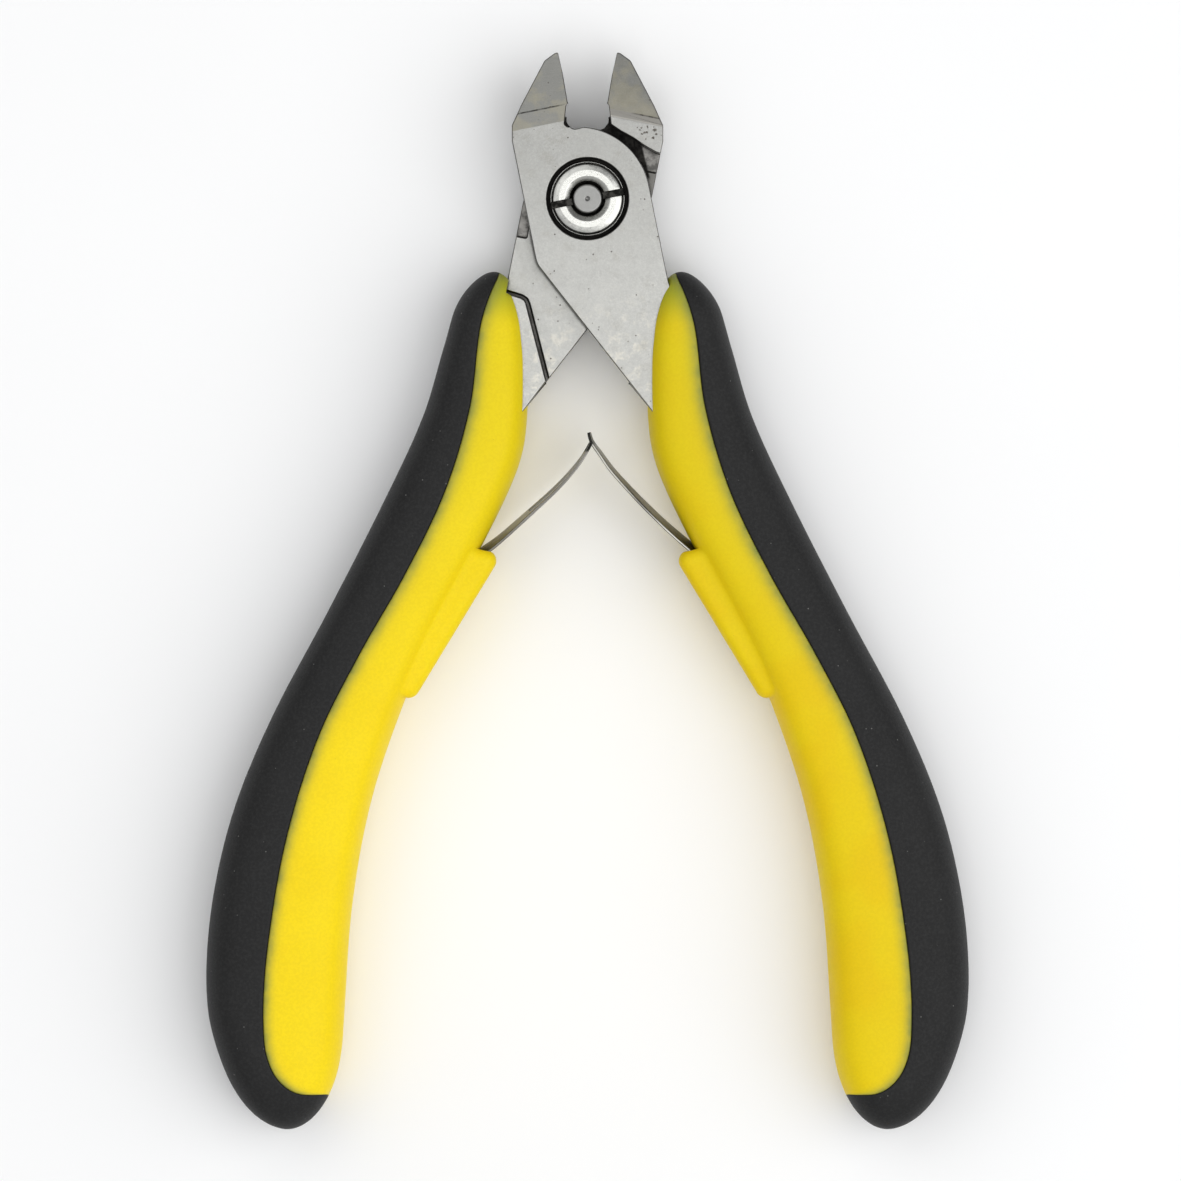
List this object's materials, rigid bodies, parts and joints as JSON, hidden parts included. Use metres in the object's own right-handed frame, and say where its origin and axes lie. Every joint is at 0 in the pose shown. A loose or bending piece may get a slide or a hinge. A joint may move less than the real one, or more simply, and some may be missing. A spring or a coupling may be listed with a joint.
{
  "type": "flush cutter",
  "caption": "Hand-held flush cutter for electronics work: lap-jointed steel jaws on a screw with a slotted nut, two-part moulded grips and interlocking leaf springs.",
  "frame": {"origin": "on the surface it lies on, under the centre of the open tool's bounding box", "axes": "+Y from the grips to the tips of the jaws, +Z along the pivot, out of the face with the slotted nut, +X across the tool to the grip of the upper half"},
  "size_m": [0.087, 0.1228, 0.012],
  "materials": {
    "head_steel": "satin, tumbled, with ground jaws",
    "pivot_steel": "turned",
    "spring_steel": "blued spring steel, dull",
    "yellow_core": "smooth matte",
    "black_cover": "soft matte"
  },
  "bodies": {
    "rear_handle": {"rear_half": "head_steel", "pivot_screw": "pivot_steel", "pivot_nut": "pivot_steel", "pivot_washer": "spring_steel", "left_grip_core": "yellow_core", "left_grip_cover": "black_cover", "left_spring_root": "spring_steel"},
    "front_handle": {"front_half": "head_steel", "right_grip_core": "yellow_core", "right_grip_cover": "black_cover", "right_spring_root": "spring_steel"},
    "left_spring": {"left_spring_blade": "spring_steel"},
    "right_spring": {"right_spring_blade": "spring_steel"}
  },
  "joints": [
    {"name": "pivot", "type": "hinge", "parent": "rear_handle", "child": "front_handle", "pos_m": [0, 0.04468, 0.006], "axis": [0, 0, -1], "range_deg": [0, 21.6], "stiffness_Nm_per_rad": 0.75},
    {"name": "left_spring_flex", "type": "hinge", "parent": "rear_handle", "child": "left_spring", "pos_m": [-0.01195, 0.00455, 0.006], "axis": [0, 0, 1], "range_deg": [0, 17.3]},
    {"name": "right_spring_flex", "type": "hinge", "parent": "front_handle", "child": "right_spring", "pos_m": [0.01195, 0.00455, 0.006], "axis": [0, 0, -1], "range_deg": [0, 17.3]}
  ],
  "couplings": [
    {"joint": "left_spring_flex", "follows": "pivot", "ratio": 0.8},
    {"joint": "right_spring_flex", "follows": "pivot", "ratio": 0.8}
  ]
}
